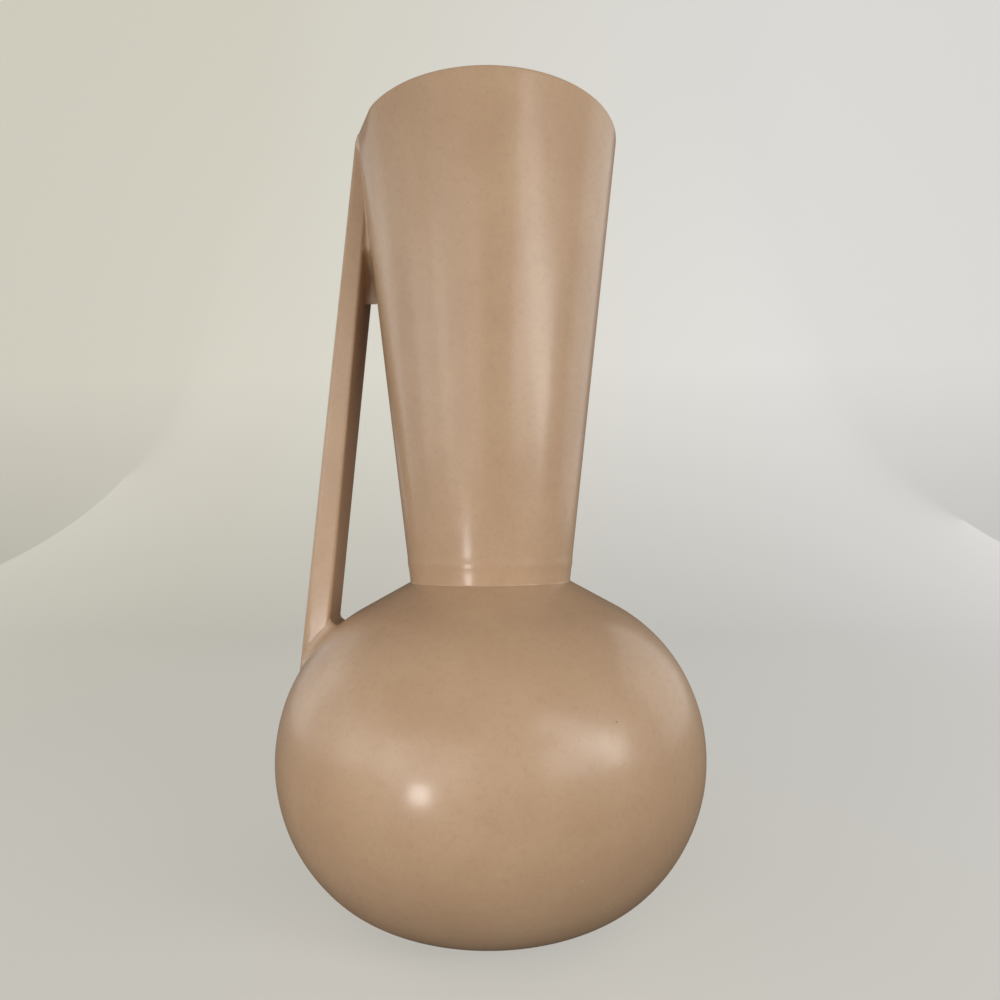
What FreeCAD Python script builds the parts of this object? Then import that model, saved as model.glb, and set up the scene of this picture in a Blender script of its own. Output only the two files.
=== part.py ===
"""One-handled ceramic bottle vase: a squat round body, a tall flaring neck and a straight strap handle.

The vase stands on its foot ring. The origin is the centre of the foot ring's bottom, +Z is up, and
the handle is on the -X side. All sizes are millimetres.
"""
import FreeCAD, Part
import math
import os

# heights
CREASE_HEIGHT = 119.3          # table to the sharp crease where neck meets shoulder
NECK_LENGTH = 179.3            # crease to rim

# body, outside
BELLY_DIAMETER = 165.0
CREASE_STAND = 3.68            # how far the crease stands off the belly's meridian circle
UNDERSIDE_FLATTENING = 6.6     # how much of the belly's meridian circle the flattened underside takes off
UNDERSIDE_ARC_RADIUS = 39.2    # meridian radius where the belly turns under to the foot
FOOT_RING_DIAMETER = 80.0
FOOT_RING_HEIGHT = 2.0
FOOT_RING_WIDTH = 5.5
FOOT_EDGE_CHAMFER = 0.5

# walls
BODY_WALL = 5.5
NECK_WALL = 5.0

# neck, outside
NECK_ROOT_DIAMETER = 64.0
MOUTH_DIAMETER = 106.3
LIP_OUTER_ROUND = 0.8
LIP_INNER_ROUND = 2.4
RIM_FLAT_DEPTH = 0.95          # the rim is pressed flat on both sides of the handle
RIM_FLAT_ANGLE = 27.9          # degrees from the handle to the middle of each flat

# slip between the neck's foot and the shoulder
SLIP_THICKNESS = 0.8
SLIP_BEAD_WIDTH = 1.3

# strap handle, at the rim and where its outer face lands on the shoulder
HANDLE_RIM_PROUD = 1.15        # how far the outer face stands out from the rim
HANDLE_FOOT_SETBACK = 5.68     # belly's side to the outer face
HANDLE_RIM_THICKNESS = 8.3
HANDLE_FOOT_THICKNESS = 11.03
HANDLE_RIM_WIDTH = 23.2
HANDLE_FOOT_WIDTH = 15.0
HANDLE_CROWN_RADIUS = 55.0     # the outer face is crowned like the rim
HANDLE_OUTER_ROUND = 2.4
HANDLE_INNER_ROUND = 1.2
HANDLE_TOP_ROUND = 0.7
HANDLE_ROOT_DEPTH = 9.5        # how far the untrimmed strap runs on below the landing

# slip that fills the notch behind the handle's top, and the fillet round its foot
NOTCH_FILL_LENGTH = 30.0       # from the tip of the notch down to the tip of the fill
NOTCH_FILL_HOLLOW = 3.0        # radius of the hollow that ends the fill
FOOT_FILLET_RADIUS = 4.0       # hollow fillet of slip round the handle's foot

OVERRUN = 10.0                 # how far cutting shapes run past what they cut
TOUCH = 0.001                  # surfaces closer than this are one surface


def vec(x, y, z):
    return FreeCAD.Vector(x, y, z)


def line(a, b):
    return Part.LineSegment(a, b).toShape()


def arc(a, middle, b):
    return Part.Arc(a, middle, b).toShape()


def on_arc(centre, radius, angle):
    """Point of a meridian arc; the angle is measured from +X towards +Z."""
    return vec(centre.x + radius * math.cos(angle), 0, centre.z + radius * math.sin(angle))


def meridian_arc(centre, radius, start, end):
    middle = on_arc(centre, radius, (start + end) / 2)
    return arc(on_arc(centre, radius, start), middle, on_arc(centre, radius, end))


def revolved(edges):
    """Solid of revolution about Z of a closed meridian outline."""
    face = Part.Face(Part.Wire(edges))
    return face.revolve(vec(0, 0, 0), vec(0, 0, 1), 360)


def rim_height():
    return CREASE_HEIGHT + NECK_LENGTH


def neck_slope():
    return (MOUTH_DIAMETER - NECK_ROOT_DIAMETER) / 2 / NECK_LENGTH


def neck_radius(z):
    """Outer radius of the flaring neck at height z."""
    return NECK_ROOT_DIAMETER / 2 + neck_slope() * (z - CREASE_HEIGHT)


def belly_arc_radius():
    """Radius of the belly's meridian circle, from the belly's side and its stand clear of the crease.

    Its centre is one radius in from the side.
    It is one radius, less the flattening, above the foot ring's top.
    Its distance from the crease is one radius plus the crease's stand, which gives a quadratic.
    """
    inset = (BELLY_DIAMETER - NECK_ROOT_DIAMETER) / 2
    drop = CREASE_HEIGHT - FOOT_RING_HEIGHT + UNDERSIDE_FLATTENING
    root = math.sqrt(2 * (drop + CREASE_STAND) * (inset + CREASE_STAND))
    return drop + CREASE_STAND + inset - root


def belly_centre():
    radius = belly_arc_radius()
    return vec(BELLY_DIAMETER / 2 - radius, 0, FOOT_RING_HEIGHT + radius - UNDERSIDE_FLATTENING)


def underside_centre():
    """Centre of the underside arc: level with the foot ring's top, tangent to the belly arc."""
    belly = belly_centre()
    z = FOOT_RING_HEIGHT + UNDERSIDE_ARC_RADIUS
    reach = belly_arc_radius() - UNDERSIDE_ARC_RADIUS
    return vec(belly.x + math.sqrt(reach**2 - (belly.z - z)**2), 0, z)


def turn_angle():
    """Angle at which the belly arc hands over to the underside arc."""
    belly = belly_centre()
    under = underside_centre()
    return math.atan2(under.z - belly.z, under.x - belly.x)


def shoulder_angle():
    """Angle on the belly arc where the straight shoulder leaves it towards the neck's foot."""
    belly = belly_centre()
    dx = NECK_ROOT_DIAMETER / 2 - belly.x
    dz = CREASE_HEIGHT - belly.z
    return math.atan2(dz, dx) - math.acos(belly_arc_radius() / math.hypot(dx, dz))


def shoulder_z(r):
    """Height of the straight shoulder at radius r."""
    return CREASE_HEIGHT - (r - NECK_ROOT_DIAMETER / 2) / math.tan(shoulder_angle())


def outside_edges():
    """Body outline from the foot ring's outer edge up to the crease."""
    belly = belly_centre()
    under = underside_centre()
    ring = FOOT_RING_DIAMETER / 2
    ring_top_angle = -math.acos((ring - under.x) / UNDERSIDE_ARC_RADIUS)
    crease = vec(NECK_ROOT_DIAMETER / 2, 0, CREASE_HEIGHT)
    return [
        line(vec(ring, 0, FOOT_EDGE_CHAMFER), on_arc(under, UNDERSIDE_ARC_RADIUS, ring_top_angle)),
        meridian_arc(under, UNDERSIDE_ARC_RADIUS, ring_top_angle, turn_angle()),
        meridian_arc(belly, belly_arc_radius(), turn_angle(), shoulder_angle()),
        line(on_arc(belly, belly_arc_radius(), shoulder_angle()), crease),
    ]


def body_solid_core():
    """The body without its hollow, for trimming what lands on it."""
    ring = FOOT_RING_DIAMETER / 2
    edges = outside_edges()
    edges.append(line(vec(NECK_ROOT_DIAMETER / 2, 0, CREASE_HEIGHT), vec(0, 0, CREASE_HEIGHT)))
    edges.append(line(vec(0, 0, CREASE_HEIGHT), vec(0, 0, 0)))
    edges.append(line(vec(0, 0, 0), vec(ring - FOOT_EDGE_CHAMFER, 0, 0)))
    edges.append(line(vec(ring - FOOT_EDGE_CHAMFER, 0, 0), vec(ring, 0, FOOT_EDGE_CHAMFER)))
    return revolved(edges)


def body():
    """Hollow round body with a floor, a foot ring and an open seat for the neck."""
    belly = belly_centre()
    under = underside_centre()
    ring = FOOT_RING_DIAMETER / 2
    ring_inner = ring - FOOT_RING_WIDTH
    throat = NECK_ROOT_DIAMETER / 2 - NECK_WALL
    floor_z = FOOT_RING_HEIGHT + BODY_WALL
    inner_belly = belly_arc_radius() - BODY_WALL
    inner_under = UNDERSIDE_ARC_RADIUS - BODY_WALL
    throat_z = shoulder_z(throat) - BODY_WALL / math.sin(shoulder_angle())
    inside_top = vec(throat, 0, throat_z)
    edges = outside_edges()
    edges += [
        line(vec(NECK_ROOT_DIAMETER / 2, 0, CREASE_HEIGHT), vec(throat, 0, CREASE_HEIGHT)),
        line(vec(throat, 0, CREASE_HEIGHT), inside_top),
        line(inside_top, on_arc(belly, inner_belly, shoulder_angle())),
        meridian_arc(belly, inner_belly, shoulder_angle(), turn_angle()),
        meridian_arc(under, inner_under, turn_angle(), -math.pi / 2),
        line(vec(under.x, 0, floor_z), vec(0, 0, floor_z)),
        line(vec(0, 0, floor_z), vec(0, 0, FOOT_RING_HEIGHT)),
        line(vec(0, 0, FOOT_RING_HEIGHT), vec(ring_inner, 0, FOOT_RING_HEIGHT)),
        line(vec(ring_inner, 0, FOOT_RING_HEIGHT), vec(ring_inner, 0, FOOT_EDGE_CHAMFER)),
        line(vec(ring_inner, 0, FOOT_EDGE_CHAMFER), vec(ring_inner + FOOT_EDGE_CHAMFER, 0, 0)),
        line(vec(ring_inner + FOOT_EDGE_CHAMFER, 0, 0), vec(ring - FOOT_EDGE_CHAMFER, 0, 0)),
        line(vec(ring - FOOT_EDGE_CHAMFER, 0, 0), vec(ring, 0, FOOT_EDGE_CHAMFER)),
    ]
    return revolved(edges)


def neck_slip_joint():
    """Thin ring of slip under the neck's foot, with a small bead squeezed out on the shoulder."""
    root = NECK_ROOT_DIAMETER / 2
    throat = root - NECK_WALL
    top = CREASE_HEIGHT + SLIP_THICKNESS
    toe = vec(root + SLIP_BEAD_WIDTH, 0, shoulder_z(root + SLIP_BEAD_WIDTH))
    heel = vec(neck_radius(top), 0, top)
    hollow = vec((toe.x + 2 * heel.x) / 3, 0, (2 * toe.z + heel.z) / 3)
    return revolved([
        line(vec(throat, 0, CREASE_HEIGHT), vec(root, 0, CREASE_HEIGHT)),
        line(vec(root, 0, CREASE_HEIGHT), toe),
        arc(toe, hollow, heel),
        line(heel, vec(throat, 0, top)),
        line(vec(throat, 0, top), vec(throat, 0, CREASE_HEIGHT)),
    ])


def rim_flat_cutters():
    """Blocks outside the two flats that the rim has beside the handle."""
    distance = MOUTH_DIAMETER / 2 - RIM_FLAT_DEPTH
    size = MOUTH_DIAMETER
    blocks = []
    for side in (1, -1):
        block = Part.makeBox(OVERRUN, size, NECK_LENGTH + OVERRUN, vec(distance, -size / 2, CREASE_HEIGHT))
        block.rotate(vec(0, 0, 0), vec(0, 0, 1), 180 + side * RIM_FLAT_ANGLE)
        blocks.append(block)
    return blocks


def neck():
    """Hollow flaring neck with a rounded lip."""
    foot = CREASE_HEIGHT + SLIP_THICKNESS
    rim = rim_height()
    throat = NECK_ROOT_DIAMETER / 2 - NECK_WALL
    mouth = MOUTH_DIAMETER / 2 - NECK_WALL
    outline = [
        vec(throat, 0, foot),
        vec(neck_radius(foot), 0, foot),
        vec(MOUTH_DIAMETER / 2, 0, rim),
        vec(mouth, 0, rim),
        vec(throat, 0, foot),
    ]
    shape = revolved([line(a, b) for a, b in zip(outline, outline[1:])])
    for radius, lip_radius in ((MOUTH_DIAMETER / 2, LIP_OUTER_ROUND), (mouth, LIP_INNER_ROUND)):
        circle = [e for e in shape.Edges if is_circle(e, radius, rim)]
        shape = shape.makeFillet(lip_radius, circle)
    for block in rim_flat_cutters():
        shape = shape.cut(block)
    return shape


def is_circle(edge, radius, z):
    """Whether an edge is the level circle of that radius at that height."""
    box = edge.BoundBox
    same_height = abs(box.ZMin - z) < TOUCH and box.ZLength < TOUCH
    return same_height and abs(box.XMax - radius) < TOUCH


def neck_solid_core():
    """The neck without its bore and lip rounds, for trimming what lands on it."""
    bottom = CREASE_HEIGHT
    top = rim_height() + OVERRUN
    return Part.makeCone(neck_radius(bottom), neck_radius(top), top - bottom, vec(0, 0, bottom))


def landing():
    """Radius and height at which the strap's outer face meets the body."""
    belly = belly_centre()
    r = BELLY_DIAMETER / 2 - HANDLE_FOOT_SETBACK
    return r, belly.z + math.sqrt(belly_arc_radius()**2 - (r - belly.x)**2)


def between(rim_value, foot_value, z):
    """A strap size at height z, in line with its values at the rim and at the landing."""
    share = (rim_height() - z) / (rim_height() - landing()[1])
    return rim_value + (foot_value - rim_value) * share


def strap_reach(z):
    """Axis to the strap's outer face at height z."""
    return between(MOUTH_DIAMETER / 2 + HANDLE_RIM_PROUD, landing()[0], z)


def strap_inner(z):
    """Axis to the strap's inner face at height z."""
    return strap_reach(z) - between(HANDLE_RIM_THICKNESS, HANDLE_FOOT_THICKNESS, z)


def strap_half_width(z):
    return between(HANDLE_RIM_WIDTH, HANDLE_FOOT_WIDTH, z) / 2


def strap_section(z):
    """Closed outline of the strap at height z: crowned outside, flat inside, rounded corners."""
    reach = strap_reach(z)
    inner = strap_inner(z)
    half = strap_half_width(z)
    crown_x = HANDLE_CROWN_RADIUS - reach
    outer = HANDLE_OUTER_ROUND
    small = HANDLE_INNER_ROUND
    corner_x = crown_x - math.sqrt((HANDLE_CROWN_RADIUS - outer)**2 - (half - outer)**2)
    lean = math.atan2(half - outer, crown_x - corner_x)
    sides = {}
    for s in (1, -1):
        centre = vec(corner_x, s * (half - outer), z)
        inner_centre = vec(-inner - small, s * (half - small), z)
        bend = (math.pi / 2 + lean) / 2
        sides[s] = {
            "crown": centre + vec(-outer * math.cos(lean), s * outer * math.sin(lean), 0),
            "outer_mid": centre + vec(-outer * math.cos(bend), s * outer * math.sin(bend), 0),
            "side_top": centre + vec(0, s * outer, 0),
            "side_low": inner_centre + vec(0, s * small, 0),
            "inner_mid": inner_centre + vec(small, s * small, 0) * math.sqrt(0.5),
            "inner": inner_centre + vec(small, 0, 0),
        }
    a, b = sides[1], sides[-1]
    return Part.Wire([
        arc(b["crown"], vec(-reach, 0, z), a["crown"]),
        arc(a["crown"], a["outer_mid"], a["side_top"]),
        line(a["side_top"], a["side_low"]),
        arc(a["side_low"], a["inner_mid"], a["inner"]),
        line(a["inner"], b["inner"]),
        arc(b["inner"], b["inner_mid"], b["side_low"]),
        line(b["side_low"], b["side_top"]),
        arc(b["side_top"], b["outer_mid"], b["crown"]),
    ])


def strap():
    """The strap before it is trimmed to the neck and the body, flush with the rim."""
    root = landing()[1] - HANDLE_ROOT_DEPTH
    shape = Part.makeLoft([strap_section(root), strap_section(rim_height())], True, True)
    top_edges = [e for e in shape.Edges if e.BoundBox.ZMin > rim_height() - LIP_OUTER_ROUND]
    middle = (strap_reach(rim_height()) + strap_inner(rim_height())) / 2
    outside = [e for e in top_edges if e.BoundBox.XMin < -middle]
    return shape.makeFillet(HANDLE_TOP_ROUND, outside)


def largest(shape):
    """The biggest solid of a trimmed shape."""
    return max(shape.Solids, key=lambda s: s.Volume)


def handle():
    """Straight strap handle from the rim down to the shoulder, trimmed where it is luted on."""
    return largest(strap().cut(neck_solid_core()).cut(body_solid_core()))


def notch_tip_height():
    """Height at which the strap's inner face and the neck's wall cross in the handle's plane."""
    slope = (strap_inner(CREASE_HEIGHT) - strap_inner(rim_height())) / NECK_LENGTH
    gap_at_rim = strap_inner(rim_height()) - MOUTH_DIAMETER / 2
    return rim_height() + gap_at_rim / (slope + neck_slope())


def handle_top_luting():
    """Tongue of slip that fills the sharp notch between the neck and the back of the handle."""
    tip = notch_tip_height()
    low = tip - NOTCH_FILL_LENGTH
    half = strap_half_width(low) - HANDLE_INNER_ROUND
    reach = strap_inner(low - OVERRUN) + OVERRUN
    profile = Part.Wire([
        line(vec(0, -half, low + half), vec(0, -half, rim_height() - OVERRUN)),
        line(vec(0, -half, rim_height() - OVERRUN), vec(0, half, rim_height() - OVERRUN)),
        line(vec(0, half, rim_height() - OVERRUN), vec(0, half, low + half)),
        arc(vec(0, half, low + half), vec(0, 0, low), vec(0, -half, low + half)),
    ])
    tongue = Part.Face(profile).extrude(vec(-reach, 0, 0))
    bar = behind_strap(low - OVERRUN, rim_height())
    fill = tongue.common(bar).cut(neck_solid_core())
    return largest(fill.cut(notch_hollow(low)))


def behind_strap(low, high):
    """Everything from the axis out to the strap's inner face, between two heights."""
    wires = []
    for z in (low, high):
        inner = strap_inner(z)
        half = strap_half_width(z)
        start = vec(0, -half, z)
        corners = [start, vec(-inner, -half, z), vec(-inner, half, z), vec(0, half, z), start]
        wires.append(Part.makePolygon(corners))
    return Part.makeLoft(wires, True, True)


def notch_hollow(low):
    """Round bar that hollows the lower end of the notch fill."""
    start = vec(-(strap_inner(low) + neck_radius(low)) / 2, -HANDLE_RIM_WIDTH / 2, low)
    return Part.makeCylinder(NOTCH_FILL_HOLLOW, HANDLE_RIM_WIDTH, start, vec(0, 1, 0))


def foot_seam(joined):
    """Edges along which the strap's faces meet the body's outside."""
    skin = Part.Compound(body_solid_core().Faces)
    bar = Part.Compound(strap().Faces)
    seam = []
    for edge in joined.Edges:
        middle = Part.Vertex(edge.valueAt((edge.FirstParameter + edge.LastParameter) / 2))
        if middle.distToShape(skin)[0] < TOUCH and middle.distToShape(bar)[0] < TOUCH:
            seam.append(edge)
    return seam


def handle_foot_luting():
    """Fillet of slip all round the handle's foot on the shoulder."""
    core = body_solid_core()
    bar = strap().cut(neck_solid_core())
    joined = core.fuse(bar)
    seam = foot_seam(joined)
    filled = joined.makeFillet(FOOT_FILLET_RADIUS, seam)
    return largest(filled.cut([core, strap()], TOUCH))


PARTS = {
    "body": body,
    "neck": neck,
    "neck_slip_joint": neck_slip_joint,
    "handle": handle,
    "handle_top_luting": handle_top_luting,
    "handle_foot_luting": handle_foot_luting,
}

os.makedirs("parts", exist_ok=True)
for name, make in PARTS.items():
    shape = make()
    shape.exportStep("parts/" + name + ".step")
    box = shape.optimalBoundingBox()
    print(name, "solids", len(shape.Solids), "valid", shape.isValid(), "volume", round(shape.Volume, 1),
          "x", round(box.XMin, 2), round(box.XMax, 2), "y", round(box.YMin, 2), round(box.YMax, 2),
          "z", round(box.ZMin, 2), round(box.ZMax, 2))
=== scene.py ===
"""Dresses the one-handled bottle vase: surfaces, glaze, stage, lamps and camera.

The vase stands on its foot ring, +Z is up and the strap handle is on the -X side. Sizes are metres.
"""
import math

import bpy
import numpy as np
from bpy.props import FloatProperty, FloatVectorProperty, PointerProperty
from bpy.types import Operator, Panel, PropertyGroup
from mathutils import Matrix, Vector


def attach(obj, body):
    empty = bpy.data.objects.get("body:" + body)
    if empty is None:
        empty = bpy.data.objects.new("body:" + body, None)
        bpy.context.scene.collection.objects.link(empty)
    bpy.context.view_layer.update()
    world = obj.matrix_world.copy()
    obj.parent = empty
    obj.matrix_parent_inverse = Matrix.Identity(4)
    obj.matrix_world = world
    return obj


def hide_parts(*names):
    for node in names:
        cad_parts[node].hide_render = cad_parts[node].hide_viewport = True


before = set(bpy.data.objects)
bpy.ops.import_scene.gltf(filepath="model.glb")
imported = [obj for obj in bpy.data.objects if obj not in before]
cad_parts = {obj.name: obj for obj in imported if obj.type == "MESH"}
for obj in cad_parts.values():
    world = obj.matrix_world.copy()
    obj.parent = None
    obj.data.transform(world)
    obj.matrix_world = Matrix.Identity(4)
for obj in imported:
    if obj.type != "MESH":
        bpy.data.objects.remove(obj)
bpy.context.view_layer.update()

bl_info = {
    "name": "One-handled bottle vase",
    "version": (1, 0, 0),
    "blender": (4, 5, 0),
    "location": "3D View > Sidebar > Vase",
    "description": "Builds a glazed bottle vase with a straight strap handle",
    "category": "Add Mesh",
}


def length(name, text, default):
    """Length setting in metres."""
    return FloatProperty(name=name, description=text, default=default, unit="LENGTH", precision=5)


def share(name, text, default):
    """Setting between 0 and 1."""
    return FloatProperty(name=name, description=text, default=default, min=0, max=1, precision=3)


def radians(name, text, default):
    """Angle setting in radians."""
    return FloatProperty(name=name, description=text, default=default, subtype="ANGLE")


def number(name, text, default):
    """Plain number, such as a count or a multiple."""
    return FloatProperty(name=name, description=text, default=default, min=0, precision=2)


def colour(name, text, default):
    """Colour setting, linear."""
    return FloatVectorProperty(
        name=name, description=text, default=default, size=3, min=0, max=1, subtype="COLOR")


class BodySizes(PropertyGroup):
    crease_height: length("Crease height", "Table to the crease between neck and shoulder", 0.1193)
    root_radius: length("Crease radius", "Radius of the crease", 0.032)
    belly_height: length("Belly height", "Table to the widest circle", 0.0559)
    belly_radius: length("Belly radius", "Radius of the widest circle", 0.0825)
    belly_arc: length("Belly arc", "Meridian radius of the belly", 0.0605)
    under_arc: length("Underside arc", "Meridian radius where the belly turns under", 0.0392)
    foot_radius: length("Foot radius", "Outer radius of the foot ring", 0.040)
    foot_width: length("Foot width", "Width of the foot ring", 0.0055)
    foot_height: length("Foot height", "Height of the foot ring", 0.002)
    foot_round: length("Foot rounding", "Wiped edge of the foot ring", 0.0005)
    wall: length("Wall", "Thickness of the body's wall", 0.0055)
    unevenness: length("Unevenness", "How far the outside wavers from a true circle", 0.00022)
    true_height: length("True height", "Height up to which the outside stays a true circle", 0.004)
    waver_fade: length("Waver fade", "Distance over which the waver sets in", 0.02)


class NeckSizes(PropertyGroup):
    rim_height: length("Rim height", "Table to the rim", 0.2986)
    mouth_radius: length("Mouth radius", "Outer radius at the rim", 0.05315)
    wall: length("Wall", "Thickness of the neck's wall", 0.005)
    lip_outer: length("Lip outer round", "Outer rounding of the lip", 0.0008)
    lip_inner: length("Lip inner round", "Inner rounding of the lip", 0.0024)
    flat_depth: length("Rim flat depth", "Depth of the two flats beside the handle", 0.00095)
    flat_angle: radians("Rim flat angle", "Angle from handle to a flat's middle", math.radians(27.9))
    flat_soft: length("Rim flat softness", "How softly a flat runs into the round neck", 0.00012)
    ripple_height: length("Ripple height", "Crease to the faint ring above it", 0.0072)
    ripple_width: length("Ripple width", "Half the width of the faint ring", 0.0016)
    ripple_depth: length("Ripple depth", "How far the faint ring stands out", 0.00018)
    edge: length("Edge ring", "Distance from the neck's lower edge to the next ring of points", 0.0004)


class StrapSizes(PropertyGroup):
    gauge_height: length("Gauge height", "Height of the lower set of sizes", 0.100)
    rim_reach: length("Reach at the rim", "Axis to the outer face at the rim", 0.0543)
    gauge_reach: length("Lower reach", "Axis to the outer face at the gauge height", 0.0749)
    rim_inner: length("Inner face at the rim", "Axis to the inner face at the rim", 0.046)
    gauge_inner: length("Lower inner face", "Axis to the inner face at the gauge height", 0.0641)
    rim_width: length("Width at the rim", "Width of the strap at the rim", 0.0232)
    gauge_width: length("Lower width", "Width of the strap at the gauge height", 0.0157)
    crown: length("Crown radius", "Radius of the outer face", 0.055)
    outer_round: length("Outer rounding", "Rounding of the outer edges", 0.0024)
    inner_round: length("Inner rounding", "Rounding of the inner edges", 0.0012)
    top_round: length("Top rounding", "Rounding of the outer edge at the rim", 0.0007)
    bury: length("Buried depth", "How far the strap's ends run into the neck and the body", 0.0025)
    top_gap: length("Top gap", "How far the strap's end lies under the rim", 0.00004)


class SlipSizes(PropertyGroup):
    bead_round: length("Crease fillet", "Radius of the slip in the crease", 0.0004)
    bead_tuck: length("Crease tuck", "How far the crease slip's edges run under the clay", 0.0003)
    notch_low: length("Notch fill foot", "Height of the notch fill's lowest point", 0.2344)
    notch_side: length("Notch fill side", "Height where the fill reaches the strap's edges", 0.2540)
    notch_sag: share("Notch sag", "Depth of the fill's hollow sides as a share of the gap", 0.7)
    notch_least: length("Least notch gap", "Least width that the fill's hollow is given", 0.0003)
    notch_into_neck: length("Notch depth in the neck", "How far the fill runs into the neck", 0.0014)
    notch_into_strap: length("Notch depth in the strap", "How far the fill runs into the strap", 0.0007)
    top_gap: length("Top gap", "How far the fill's end lies under the rim", 0.00006)
    blend: length("Notch blend", "Half the height over which the hollow turns into the web", 0.003)
    web_round: length("Web radius", "Fillet between the strap's sides and the neck", 0.0008)
    rim_web: length("Rim web height", "Height over which the webs turn into the rim's flats", 0.006)
    inner_fillet: length("Foot fillet, inside", "Fillet at the strap's foot, towards the neck", 0.0027)
    side_fillet: length("Foot fillet, sides", "Fillet at the strap's foot, at its sides", 0.0036)
    outer_fillet: length("Foot fillet, outside", "Fillet at the strap's foot, on its outer face", 0.018)
    foot_tuck: length("Foot tuck", "How far the foot slip's edges run under the clay", 0.0004)
    foot_core: length("Foot core", "How far the foot slip's hidden corner lies beyond the joint", 0.0009)


class GlazeLook(PropertyGroup):
    light: colour("Light tone", "Paler tone of the glaze", (0.525, 0.350, 0.218))
    dark: colour("Dark tone", "Deeper tone of the glaze", (0.478, 0.310, 0.190))
    pit: colour("Pinhole tone", "Clay that shows in the pinholes", (0.16, 0.095, 0.055))
    fleck: colour("Fleck tone", "Pale grains in the glaze", (0.80, 0.72, 0.62))
    roughness: share("Roughness", "Roughness of the satin surface", 0.50)
    gloss: share("Gloss", "Strength of the satin reflection", 0.36)
    coat: share("Coat", "Strength of the thin glassy coat", 0.55)
    coat_roughness: share("Coat roughness", "Roughness of the glassy coat", 0.22)
    roughness_spread: share("Roughness spread", "How far the roughness varies up and down", 0.05)
    mottle: share("Mottle", "Strength of the dark mottle", 0.42)
    speckle: share("Speckle", "Strength of the pale speckle", 0.45)
    deepening: number("Mottle tone", "Mottle's tone as a multiple of the deeper tone", 0.80)
    paling: number("Speckle tone", "Speckle's tone as a multiple of the paler tone", 1.16)
    swell: length("Swell", "Height of the soft swells", 0.00045)
    grain: length("Grain", "Height of the fine grain", 0.00003)
    pit_spacing: length("Pinhole spacing", "Size of the cells that hold a pinhole now and then", 0.011)
    pit_radius: length("Pinhole radius", "Radius of a pinhole", 0.00032)
    pit_rarity: number("Pinhole rarity", "Cells for one pinhole", 6)
    pit_depth: length("Pinhole depth", "Depth of a pinhole", 0.0002)
    fleck_spacing: length("Fleck spacing", "Size of the cells that hold a fleck now and then", 0.017)
    fleck_radius: length("Fleck radius", "Radius of a fleck", 0.00026)
    fleck_rarity: number("Fleck rarity", "Cells for one fleck", 7)


class StageLook(PropertyGroup):
    floor: colour("Floor colour", "Colour of floor and backdrop to the camera", (0.30, 0.295, 0.28))
    bounce: colour("Bounce colour", "Colour of floor and backdrop to the light", (0.10, 0.097, 0.088))
    # painted shade: the left glow is dimmer and warmer than the right glow, so the camera sees the
    # backdrop shaded towards the left
    left_shade_glow: colour("Left glow", "Glow at the left, for the camera only", (0.55, 0.53, 0.45))
    right_glow: colour("Right glow", "Glow at the right, for the camera only", (0.62, 0.615, 0.60))
    # painted shade: the camera-only glow is lower on the floor than on the backdrop, so the floor near
    # the vase looks darker
    floor_shade_glow: share("Floor glow", "Glow of the floor as a share of the backdrop's", 0.68)
    sky: share("Sky strength", "Light from all round", 0.19)
    shown_sky: share("Sky brightness", "Brightness of the sky to the camera, which lights nothing", 0.66)
    roughness: share("Floor roughness", "Roughness of floor and backdrop", 0.9)
    front: length("Floor front", "Axis to the floor's front edge", 1.2)
    bend: length("Bend start", "Axis to where the floor starts to bend upwards", 0.7)
    bend_radius: length("Bend radius", "Radius of the bend", 0.5)
    wall_height: length("Backdrop height", "Height of the backdrop", 2.2)
    half_width: length("Half width", "Axis to the floor's side edges", 2.5)
    glow_reach: length("Glow reach", "Distance to either side over which the glow changes", 0.6)
    glow_height: length("Glow height", "Height over which the glow rises to the backdrop's", 0.5)


class CameraSizes(PropertyGroup):
    side: length("Side", "Camera to the right of the vase's axis, before the turn", 0.00413)
    distance: length("Distance", "Camera in front of the vase's axis, before the turn", 0.28204)
    height: length("Height", "Camera above the table", 0.13655)
    turn: radians("Turn", "Turn of camera and place about the vase's axis", math.radians(3.5))
    pitch: radians("Pitch", "Upward tilt", 0.0547)
    roll: radians("Roll", "Clockwise lean", 0.0078)
    focal_share: share("Focal share", "Focal length as a share of the picture's width", 0.694)
    film: number("Film width", "Width of the film in millimetres", 36)
    near: length("Nearest distance", "Distance at which the camera starts to see", 0.01)


# rings of points: segments round the body and the crease, and round the neck
ROUND_SEGMENTS = 288
NECK_SEGMENTS = 360
# radius of the smallest ring round the axis, which a fan of triangles closes
POLE = 0.002
# edges that turn by more than this are drawn sharp
SHARP_ANGLE = math.radians(38)
# rounds in which the strap's lower end and the foot slip's ball settle on the shoulder, and the
# share of the way that the ball goes in each
STRAP_PASSES = 8
FOOT_PASSES = 30
FOOT_STEP = 0.6
# steps along the outline and in height from which the foot's normals are worked out
OUTLINE_STEP = 0.01
HEIGHT_STEP = 0.001
# the notch fill's half width grows with this power of its height
NOTCH_POWER = 1.6
# waves of the body's outside: waves round the axis, radians a metre upwards, start and share
BODY_WAVES = ((2, 30, 0.0, 0.5), (3, -55, 1.0, 0.3), (1, 260, 0.0, 0.2))
# noises of the glaze: scale, detail and roughness
CLOUD_NOISE = (38, 4, 0.55)
MOTTLE_NOISE = (420, 5, 0.7)
SPECKLE_NOISE = (1900, 2, 0.6)
SWELL_NOISE = (30, 1, 0.4)
# ranges of those noises that are drawn out to a share or a roughness
CLOUD_BAND = (0.32, 0.68)
MOTTLE_BAND = (0.50, 0.80)
SPECKLE_BAND = (0.52, 0.82)
ROUGH_BAND = (0.3, 0.7)


def strap_share(strap, neck, z):
    """0 at the rim and 1 at the gauge height, in line between them and beyond."""
    return (neck.rim_height - z) / (neck.rim_height - strap.gauge_height)


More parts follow.
